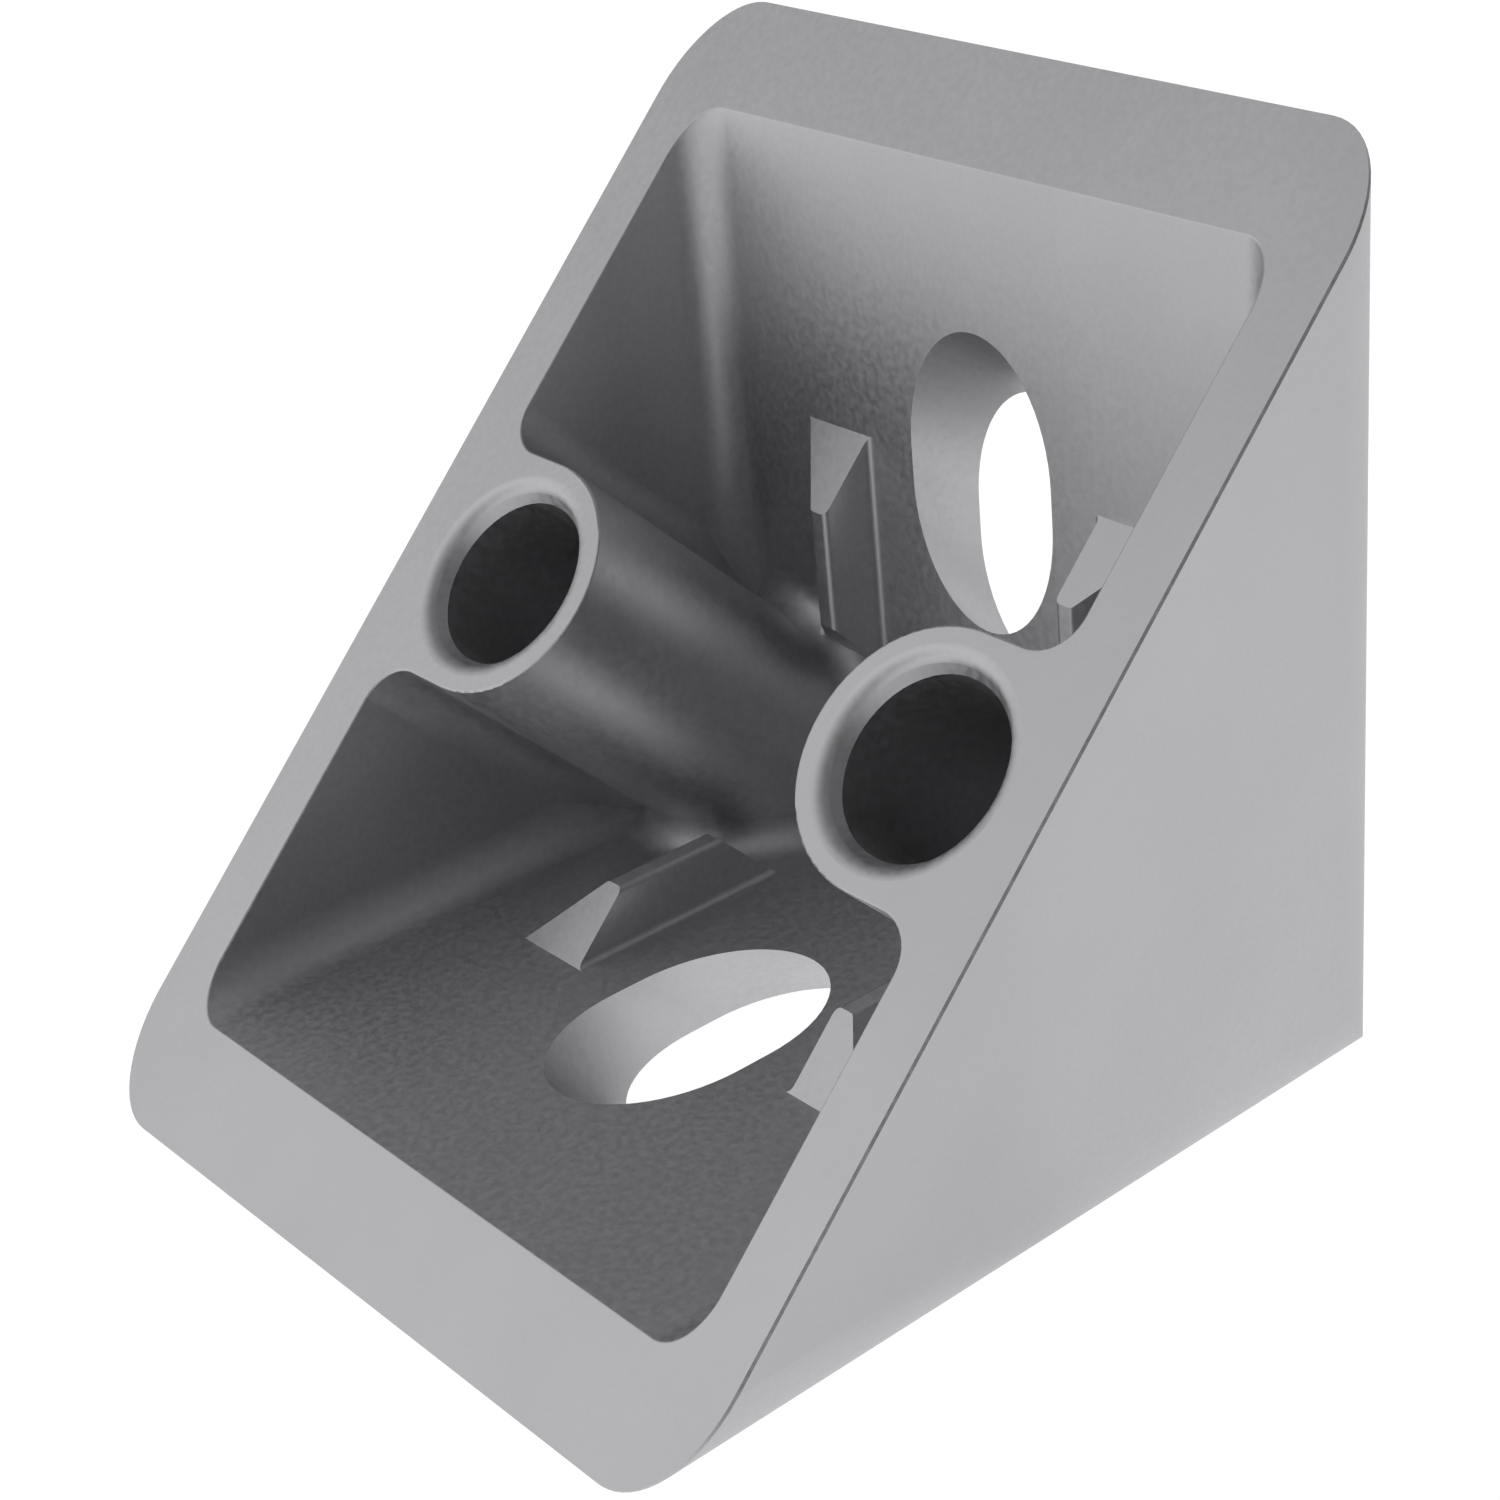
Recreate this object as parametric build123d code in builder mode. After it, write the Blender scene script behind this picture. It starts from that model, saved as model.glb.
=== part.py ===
from build123d import *
from math import sqrt
import os

os.makedirs("parts", exist_ok=True)

# Die-cast corner bracket for T-slot framing, in millimetres
# The origin is the middle of the outside corner: the upright plate stands on
# x = 0, the base plate lies on z = 0, and y runs across the bracket

# Body
leg = 42  # length of each mounting plate, from the outside corner
width = 42  # across the bracket
plate = 4  # thickness of the two mounting plates
wall = 3  # thickness of the two side walls
outer_round = 4  # long edges between a mounting face and a side wall
pocket_round = 2  # inside corners of the pocket

# Bosses that stand in from the side walls and carry the cover's pins
boss_radius = 5.75
boss_gap = 16  # clear width between the noses of the two bosses
boss_foot_round = 1.2  # where a boss's round nose runs into the plates
pin_hole = 8  # diameter
pin_hole_depth = 16
pin_lead = 0.53  # how much wider the hole's radius is at its mouth
pin_lead_depth = 0.85
pin_mouth_round = 0.8  # between the lead-in and the rim

# Screw slots, cut square to the open face, the way the casting leaves its die
slot_width = 9  # clears an M8 screw
slot_travel = 1.2  # between the slot's two end centres, up the open face
slot_place = 21.3  # slot centre from the outside corner, at half plate thickness

# Guide ribs beside each slot
rib_gap = 15  # clear width between the two ribs of a slot
rib_height = 3  # above the plate
rib_foot = 4.1  # width at the plate
rib_crest = 1  # width at the top
rib_start = 8  # from the other plate's inner face, along the plate
rib_depth = 10  # from the open face to the rib's outer end

# Small edges
outline_bevel = 0.1  # around the outside of the rim
rim_round = 0.1  # around the pocket
rib_round = 0.3  # along the rib crests, and where the ribs meet the plates

# Planes and places that follow from the sizes
open_face = Plane(origin=(leg / 2, 0, leg / 2), x_dir=(0, 1, 0), z_dir=(1, 0, 1))
mitre = Plane(origin=(0, 0, 0), x_dir=(0, 1, 0), z_dir=(1, 0, -1))
depth_axis = Axis((0, 0, 0), (1, 0, 1))
pocket_half = width / 2 - wall
boss_reach = pocket_half - boss_gap / 2  # from the side wall's inner face to the boss's nose
boss_y = pocket_half - boss_reach + boss_radius
boss_rise = boss_radius * sqrt(2)  # boss's flank above the inside corner, on a plate
slot_rise = (slot_place - plate / 2) / sqrt(2)  # slot centre from mid height, up the open face
reach = 0.01  # how near an edge lies to the face it is picked on

# Space between the plates, less the round bosses and their feet
with BuildPart() as around_bosses:
    with BuildSketch(Plane.XZ) as corner:
        with Locations((plate, plate)):
            Rectangle(leg, leg, align=(Align.MIN, Align.MIN))
        fillet(corner.vertices().sort_by(Axis((0, 0, 0), (1, 1, 0)))[0], pocket_round)
    extrude(amount=width, both=True)
    split(bisect_by=open_face, keep=Keep.BOTTOM)
    with BuildSketch(open_face) as noses:
        with Locations((boss_y, 0), (-boss_y, 0)):
            Circle(boss_radius)
    extrude(amount=-leg, mode=Mode.SUBTRACT)
    boss_feet = around_bosses.edges(Select.NEW).filter_by(depth_axis, reverse=True)
    fillet(boss_feet, boss_foot_round)

# Middle of the pocket, between the corner rounds at the side walls
with BuildPart() as pocket_middle:
    add(around_bosses.part)
    with BuildSketch(open_face) as between_webs:
        Rectangle(2 * (pocket_half - pocket_round), 2 * leg)
        with Locations((boss_y, 0)):
            Rectangle(width, 2 * boss_radius, align=(Align.MIN, Align.CENTER), mode=Mode.SUBTRACT)
        with Locations((-boss_y, 0)):
            Rectangle(width, 2 * boss_radius, align=(Align.MAX, Align.CENTER), mode=Mode.SUBTRACT)
    extrude(amount=-leg, mode=Mode.INTERSECT)

# Ends of the pocket, beside the webs, out to the side walls
with BuildPart() as pocket_ends:
    with BuildSketch(Plane.XZ) as above_web:
        with BuildLine():
            Polyline(
                (plate, plate + boss_rise),
                (leg / 2 - boss_rise / 2, leg / 2 + boss_rise / 2),
                (plate, leg - plate),
                close=True,
            )
        make_face()
    extrude(amount=pocket_half, both=True)
    with BuildSketch(Plane.XY) as behind:
        with Locations((plate, 0)):
            Rectangle(leg, 2 * pocket_half, align=(Align.MIN, Align.CENTER))
        fillet(behind.vertices().group_by(Axis.X)[0], pocket_round)
    extrude(amount=leg, mode=Mode.INTERSECT)
    with BuildSketch(open_face) as mouth:
        with Locations((0, boss_radius)):
            Rectangle(2 * pocket_half, leg, align=(Align.CENTER, Align.MIN))
        fillet(mouth.vertices().group_by(Axis.Y)[0], pocket_round)
    extrude(amount=-leg, mode=Mode.INTERSECT)
    mirror(about=mitre)
    add(around_bosses.part, mode=Mode.INTERSECT)

# Guide ribs, one drawn on the base plate at the side of its slot, then mirrored
with BuildPart() as ribs:
    with BuildSketch(Plane.XZ) as rib_side:
        with BuildLine():
            Polyline(
                (plate + rib_start, plate),
                (plate + rib_start + rib_height, plate + rib_height),
                (leg - rib_depth * sqrt(2) - plate - rib_height, plate + rib_height),
                (leg - rib_depth * sqrt(2) - plate, plate),
                close=True,
            )
        make_face()
    extrude(amount=-width / 2)
    with BuildSketch(Plane.YZ) as rib_section:
        with BuildLine():
            Polyline(
                (rib_gap / 2, plate),
                (rib_gap / 2 + rib_foot, plate),
                (rib_gap / 2 + rib_crest, plate + rib_height),
                (rib_gap / 2, plate + rib_height),
                close=True,
            )
        make_face()
    extrude(amount=leg, mode=Mode.INTERSECT)
    crests = ribs.edges().group_by(Axis.Z)[-1].filter_by(Axis.X)
    fillet(crests, rib_round)
    mirror(about=Plane.XZ)
    mirror(about=mitre)


def on_inner_face(edge):
    """True for an edge that lies on the inner face of a plate."""
    middle = edge.center()
    return abs(min(middle.X, middle.Z) - plate) < reach


def beside_slot(edge):
    """True for an edge in the strip where a rib stands."""
    across = abs(edge.center().Y) - rib_gap / 2
    return -reach < across < rib_foot + reach


with BuildPart() as corner_bracket:
    with BuildSketch(Plane.XY) as plan:
        with Locations((leg / 2, 0)):
            Rectangle(leg, width)
        fillet(plan.vertices().group_by(Axis.X)[0], outer_round)
    extrude(amount=leg)
    with BuildSketch(Plane.YZ) as front:
        with Locations((0, leg / 2)):
            Rectangle(width, leg)
        fillet(front.vertices().group_by(Axis.Y)[0], outer_round)
    extrude(amount=leg, mode=Mode.INTERSECT)
    split(bisect_by=open_face, keep=Keep.BOTTOM)
    add(pocket_middle.part, mode=Mode.SUBTRACT)
    add(pocket_ends.part, mode=Mode.SUBTRACT)
    rim = corner_bracket.faces().sort_by(depth_axis)[-1]
    fillet(rim.inner_wires()[0].edges(), rim_round)
    rim = corner_bracket.faces().sort_by(depth_axis)[-1]
    chamfer(rim.outer_wire().edges(), outline_bevel)
    add(ribs.part)
    rib_feet = corner_bracket.edges().filter_by(on_inner_face).filter_by(beside_slot)
    fillet(rib_feet.filter_by(Axis.X) + rib_feet.filter_by(Axis.Z), rib_round)
    with BuildSketch(open_face) as slots:
        with Locations((0, slot_rise), (0, -slot_rise)):
            SlotCenterToCenter(slot_travel, slot_width, rotation=90)
    extrude(amount=-leg, mode=Mode.SUBTRACT)
    with Locations(open_face):
        with Locations((boss_y, 0), (-boss_y, 0)):
            Hole(pin_hole / 2, pin_hole_depth)
            Cone(
                pin_hole / 2,
                pin_hole / 2 + pin_lead,
                pin_lead_depth,
                align=(Align.CENTER, Align.CENTER, Align.MAX),
                mode=Mode.SUBTRACT,
            )
    round_edges = corner_bracket.edges().filter_by(lambda edge: edge.is_closed)
    fillet(round_edges.group_by(depth_axis)[-1], pin_mouth_round)

corner_bracket.part.label = "corner_bracket"
export_step(corner_bracket.part, "parts/corner_bracket.step")
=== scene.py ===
"""A die-cast corner bracket: its satin cast finish, and the studio that it is pictured in."""

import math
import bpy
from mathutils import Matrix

bl_info = {
    "name": "Cast Corner Bracket",
    "version": (1, 0, 0),
    "blender": (4, 5, 0),
    "location": "3D View > Sidebar > Bracket",
    "description": "Finishes a die-cast corner bracket and sets up its studio",
    "category": "Object",
}

import bpy
from bpy.props import FloatProperty, FloatVectorProperty, PointerProperty
from mathutils import Vector

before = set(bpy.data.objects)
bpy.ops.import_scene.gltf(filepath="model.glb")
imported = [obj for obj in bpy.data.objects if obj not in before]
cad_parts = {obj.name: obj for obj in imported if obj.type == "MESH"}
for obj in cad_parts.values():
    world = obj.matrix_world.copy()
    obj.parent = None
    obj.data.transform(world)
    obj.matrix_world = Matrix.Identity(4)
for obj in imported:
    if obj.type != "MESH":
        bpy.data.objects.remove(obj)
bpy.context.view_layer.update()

BRACKET_NODE = "corner_bracket"
MM = 0.001
WHITE = (1.0, 1.0, 1.0, 1.0)
PALE = (0.8, 0.8, 0.8, 1.0)  # what the floor sends back to other light

# Where nearly all of a noise's values lie
NOISE_LOW = 0.3
NOISE_HIGH = 0.7

# Camera, in millimetres for the sensor and in metres for the distances
SENSOR_WIDTH = 36.0
NEAREST_SEEN = 0.001
FARTHEST_SEEN = 20.0

# The room's soft lights: where each shines from, and its strength
ROOM_LIGHTS = (
    ((0.7, -0.7, 0.2), 0.9),  # front, beyond the bracket
    ((0.55, -0.35, 0.75), 0.64),  # high, over the open face
    ((-1.0, 0.0, 0.25), 0.9),  # low, behind the upright plate
    ((0.75, 0.25, 0.6), 0.25),  # at the viewer's shoulder
)


# Settings


class CastFinishSettings(bpy.types.PropertyGroup):
    """Colour, gloss and grain of the raw casting."""

    metal_colour: FloatVectorProperty(
        name="Metal colour",
        description="Colour of the blasted aluminium",
        subtype="COLOR",
        size=3,
        min=0.0,
        max=1.0,
        default=(0.54, 0.54, 0.556),
    )
    mottle: FloatProperty(
        name="Mottle",
        description="How far the colour drifts over the casting",
        subtype="FACTOR",
        min=0.0,
        max=1.0,
        default=0.025,
    )
    mottle_size: FloatProperty(
        name="Mottle size",
        description="Width of one cloud of the mottle",
        unit="LENGTH",
        default=9 * MM,
    )
    speckle: FloatProperty(
        name="Speckle",
        description="How far the colour differs from grain to grain",
        subtype="FACTOR",
        min=0.0,
        max=1.0,
        default=0.065,
    )
    roughness: FloatProperty(
        name="Roughness",
        description="Roughness of the blasted skin",
        subtype="FACTOR",
        min=0.0,
        max=1.0,
        default=0.50,
    )
    roughness_drift: FloatProperty(
        name="Roughness drift",
        description="How far the roughness differs from grain to grain",
        subtype="FACTOR",
        min=0.0,
        max=1.0,
        default=0.05,
    )
    grain_size: FloatProperty(
        name="Grain size",
        description="Width of one grain of the blasted skin",
        unit="LENGTH",
        default=0.36 * MM,
    )
    grain_depth: FloatProperty(
        name="Grain depth",
        description="Height of the blasted grain",
        unit="LENGTH",
        default=0.003 * MM,
    )
    skin_size: FloatProperty(
        name="Skin size",
        description="Width of the soft waves left by the die",
        unit="LENGTH",
        default=0.9 * MM,
    )
    skin_depth: FloatProperty(
        name="Skin depth",
        description="Height of the soft waves left by the die",
        unit="LENGTH",
        default=0.004 * MM,
    )


class StudioSettings(bpy.types.PropertyGroup):
    """Camera, room and floor."""

    camera_place: FloatVectorProperty(
        name="Camera place",
        description="Where the camera stands",
        subtype="TRANSLATION",
        unit="LENGTH",
        size=3,
        default=(0.08663, 0.08986, 0.07379),
    )
    camera_turn: FloatVectorProperty(
        name="Camera turn",
        description="How the camera is turned",
        subtype="EULER",
        unit="ROTATION",
        size=3,
        default=(1.0814, 0.0704, 2.4086),
    )
    focal_length: FloatProperty(
        name="Focal length",
        description="Focal length on a 36 mm sensor",
        unit="CAMERA",
        default=70.27,
    )
    shift_across: FloatProperty(
        name="Shift across",
        description="Share of the frame that the picture is shifted sideways",
        default=-0.0819,
    )
    shift_up: FloatProperty(
        name="Shift up",
        description="Share of the frame that the picture is shifted upwards",
        default=0.0176,
    )
    room_light: FloatProperty(
        name="Room light",
        description="Strength of the even light of the pale room",
        default=0.15,
    )
    light_spread: FloatProperty(
        name="Light spread",
        description="Angle from the middle of a soft light to where it has fallen to a half",
        subtype="ANGLE",
        default=math.radians(26),
    )
    floor_glow: FloatProperty(
        name="Floor glow",
        description="How white the floor is where no light falls on it",
        subtype="FACTOR",
        min=0.0,
        max=1.0,
        default=0.94,
    )
    floor_shadow: FloatProperty(
        name="Floor shadow",
        description="Share of the light that falls on the floor which is added to its glow",
        subtype="FACTOR",
        min=0.0,
        max=1.0,
        default=0.3,
    )
    floor_size: FloatProperty(
        name="Floor size",
        description="Width of the floor",
        unit="LENGTH",
        default=6.0,
    )


# Materials


class NodeMaker:
    """Adds shader nodes to a tree in a row, and links them."""

    def __init__(self, tree):
        self.tree = tree
        self.tree.nodes.clear()

    def add(self, kind, **values):
        node = self.tree.nodes.new(kind)
        for name, value in values.items():
            setattr(node, name, value)
        return node

    def link(self, source, target):
        self.tree.links.new(source, target)

    def calculate(self, operation, first, second):
        """A math node on two values, each of them a number or another node's output."""
        node = self.add("ShaderNodeMath", operation=operation)
        for value, socket in zip((first, second), node.inputs):
            if isinstance(value, float):
                socket.default_value = value
            else:
                self.link(value, socket)
        return node.outputs["Value"]

    def mix(self, share, plain, chosen):
        """The plain shader, and the chosen one where share is 1."""
        node = self.add("ShaderNodeMixShader")
        self.link(share, node.inputs["Fac"])
        self.link(plain, node.inputs[1])
        self.link(chosen, node.inputs[2])
        return node.outputs["Shader"]

    def noise(self, place, size, detail):
        """Noise whose features are about size across, in metres."""
        noise = self.add("ShaderNodeTexNoise")
        noise.inputs["Scale"].default_value = 1.0 / size
        noise.inputs["Detail"].default_value = detail
        self.link(place, noise.inputs["Vector"])
        return noise.outputs["Fac"]

    def around(self, noise, middle, spread):
        """A noise moved to lie within a spread around a middle value."""
        remap = self.add("ShaderNodeMapRange")
        remap.inputs["From Min"].default_value = NOISE_LOW
        remap.inputs["From Max"].default_value = NOISE_HIGH
        remap.inputs["To Min"].default_value = middle - spread
        remap.inputs["To Max"].default_value = middle + spread
        self.link(noise, remap.inputs["Value"])
        return remap.outputs["Result"]

    def bump(self, height, depth, normal=None):
        """A bump of a height from 0 to 1, depth metres high."""
        bump = self.add("ShaderNodeBump")
        bump.inputs["Strength"].default_value = 1.0
        bump.inputs["Distance"].default_value = depth
        self.link(height, bump.inputs["Height"])
        if normal is not None:
            self.link(normal, bump.inputs["Normal"])
        return bump.outputs["Normal"]


def cast_aluminium(finish):
    """Blasted die-cast aluminium: satin, with a fine speckle and soft waves."""
    material = bpy.data.materials.new("cast_aluminium")
    material.use_nodes = True
    maker = NodeMaker(material.node_tree)
    place = maker.add("ShaderNodeTexCoord").outputs["Object"]
    metal = maker.add("ShaderNodeBsdfPrincipled")
    output = maker.add("ShaderNodeOutputMaterial")
    maker.link(metal.outputs["BSDF"], output.inputs["Surface"])
    metal.inputs["Metallic"].default_value = 1.0

    grain = maker.noise(place, finish.grain_size, detail=1.0)
    skin = maker.noise(place, finish.skin_size, detail=1.0)
    cloud = maker.noise(place, finish.mottle_size, detail=3.0)

    tone = maker.around(cloud, 1.0, finish.mottle)
    speck = maker.around(grain, 1.0, finish.speckle)
    shade = maker.calculate("MULTIPLY", tone, speck)
    colour = maker.add("ShaderNodeVectorMath", operation="SCALE")
    colour.inputs[0].default_value = finish.metal_colour
    maker.link(shade, colour.inputs["Scale"])
    maker.link(colour.outputs["Vector"], metal.inputs["Base Color"])

    gloss = maker.around(grain, finish.roughness, finish.roughness_drift)
    maker.link(gloss, metal.inputs["Roughness"])

    waves = maker.bump(skin, finish.skin_depth)
    normal = maker.bump(grain, finish.grain_depth, waves)
    maker.link(normal, metal.inputs["Normal"])
    return material


def studio_white(studio):
    """Floor that is white where it is seen, straight or in the bracket, with a soft shadow."""
    material = bpy.data.materials.new("studio_white")
    material.use_nodes = True
    maker = NodeMaker(material.node_tree)
    ray = maker.add("ShaderNodeLightPath").outputs
    seen = maker.calculate("MAXIMUM", ray["Is Camera Ray"], ray["Is Glossy Ray"])
    seen = maker.calculate("MAXIMUM", seen, ray["Is Transmission Ray"])

    plain = maker.add("ShaderNodeBsdfDiffuse")
    plain.inputs["Color"].default_value = PALE
    shaded = maker.add("ShaderNodeBsdfDiffuse")
    shadow = studio.floor_shadow
    shaded.inputs["Color"].default_value = (shadow, shadow, shadow, 1.0)
    glow = maker.add("ShaderNodeEmission")
    glow.inputs["Color"].default_value = WHITE
    glow.inputs["Strength"].default_value = studio.floor_glow
    white = maker.add("ShaderNodeAddShader")
    maker.link(shaded.outputs["BSDF"], white.inputs[0])
    maker.link(glow.outputs["Emission"], white.inputs[1])

    floor = maker.mix(seen, plain.outputs["BSDF"], white.outputs["Shader"])
    output = maker.add("ShaderNodeOutputMaterial")
    maker.link(floor, output.inputs["Surface"])
    return material


# Stage


def soft_light(maker, place, towards, strength, spread):
    """Strength of one soft light of the room, which fades evenly away from its middle."""
    fade = math.log(2) / (1 - math.cos(spread))
    nearness = maker.add("ShaderNodeVectorMath", operation="DOT_PRODUCT")
    maker.link(place, nearness.inputs[0])
    nearness.inputs[1].default_value = Vector(towards).normalized()
    falloff = maker.add("ShaderNodeMath", operation="MULTIPLY_ADD")
    maker.link(nearness.outputs["Value"], falloff.inputs[0])
    falloff.inputs[1].default_value = fade
    falloff.inputs[2].default_value = math.log(strength) - fade
    light = maker.add("ShaderNodeMath", operation="EXPONENT")
    maker.link(falloff.outputs["Value"], light.inputs[0])
    return light.outputs["Value"]


def room_glow(maker, studio):
    """Strength of the room in each direction: its even light and its soft lights together."""
    place = maker.add("ShaderNodeTexCoord").outputs["Generated"]
    total = studio.room_light
    for towards, strength in ROOM_LIGHTS:
        light = soft_light(maker, place, towards, strength, studio.light_spread)
        total = maker.calculate("ADD", light, total)
    return total


def make_world(studio):
    """A pale room: white where it is seen, and soft light on the bracket."""
    world = bpy.data.worlds.new("pale_room")
    world.use_nodes = True
    maker = NodeMaker(world.node_tree)
    ray = maker.add("ShaderNodeLightPath").outputs
    seen = maker.calculate("MAXIMUM", ray["Is Camera Ray"], ray["Is Transmission Ray"])

    room = maker.add("ShaderNodeBackground")
    room.inputs["Color"].default_value = WHITE
    maker.link(room_glow(maker, studio), room.inputs["Strength"])
    white = maker.add("ShaderNodeBackground")
    white.inputs["Color"].default_value = WHITE
    white.inputs["Strength"].default_value = 1.0

    surround = maker.mix(seen, room.outputs["Background"], white.outputs["Background"])
    output = maker.add("ShaderNodeOutputWorld")
    maker.link(surround, output.inputs["Surface"])
    bpy.context.scene.world = world


def make_floor(studio):
    """A wide flat floor under the bracket's base face."""
    half = studio.floor_size / 2
    mesh = bpy.data.meshes.new("studio_floor")
    corners = [(-half, -half, 0), (half, -half, 0), (half, half, 0), (-half, half, 0)]
    mesh.from_pydata(corners, [], [(0, 1, 2, 3)])
    mesh.materials.append(studio_white(studio))
    floor = bpy.data.objects.new("studio_floor", mesh)
    bpy.context.scene.collection.objects.link(floor)


def make_camera(studio):
    """The camera at the picture's place, with the picture's framing."""
    camera = bpy.data.cameras.new("camera")
    camera.lens = studio.focal_length
    camera.sensor_width = SENSOR_WIDTH
    camera.shift_x = studio.shift_across
    camera.shift_y = studio.shift_up
    camera.clip_start = NEAREST_SEEN
    camera.clip_end = FARTHEST_SEEN
    holder = bpy.data.objects.new("camera", camera)
    holder.location = studio.camera_place
    holder.rotation_euler = studio.camera_turn
    bpy.context.scene.collection.objects.link(holder)
    bpy.context.scene.camera = holder


# Operators


class BRACKET_OT_finish_casting(bpy.types.Operator):
    """Give the casting its blasted satin finish"""

    bl_idname = "bracket.finish_casting"
    bl_label = "Finish the Casting"

    def execute(self, context):
        finish = context.scene.bracket_finish
        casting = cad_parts[BRACKET_NODE]
        skin = cast_aluminium(finish)
        for place in casting.material_slots:
            place.material = skin
        return {"FINISHED"}


class BRACKET_OT_set_stage(bpy.types.Operator):
    """Set up the floor, the room and the camera"""

    bl_idname = "bracket.set_stage"
    bl_label = "Set the Stage"

    def execute(self, context):
        studio = context.scene.bracket_studio
        context.scene.view_settings.view_transform = "Standard"
        make_world(studio)
        make_floor(studio)
        make_camera(studio)
        return {"FINISHED"}


class BRACKET_PT_panel(bpy.types.Panel):
    """Lists the bracket's settings and steps in the sidebar"""

    bl_label = "Bracket"
    bl_idname = "BRACKET_PT_panel"
    bl_space_type = "VIEW_3D"
    bl_region_type = "UI"
    bl_category = "Bracket"

    def draw(self, context):
        layout = self.layout
        for group, operator in (
            (context.scene.bracket_finish, BRACKET_OT_finish_casting),
            (context.scene.bracket_studio, BRACKET_OT_set_stage),
        ):
            box = layout.box()
            for name in group.bl_rna.properties.keys():
                if name not in {"rna_type", "name"}:
                    box.prop(group, name)
            box.operator(operator.bl_idname)


CLASSES = (
    CastFinishSettings,
    StudioSettings,
    BRACKET_OT_finish_casting,
    BRACKET_OT_set_stage,
    BRACKET_PT_panel,
)


def register():
    for cls in CLASSES:
        bpy.utils.register_class(cls)
    bpy.types.Scene.bracket_finish = PointerProperty(type=CastFinishSettings)
    bpy.types.Scene.bracket_studio = PointerProperty(type=StudioSettings)


def unregister():
    del bpy.types.Scene.bracket_studio
    del bpy.types.Scene.bracket_finish
    for cls in reversed(CLASSES):
        bpy.utils.unregister_class(cls)


def main():
    register()
    bpy.ops.bracket.finish_casting()
    bpy.ops.bracket.set_stage()


if __name__ == "__main__":
    main()
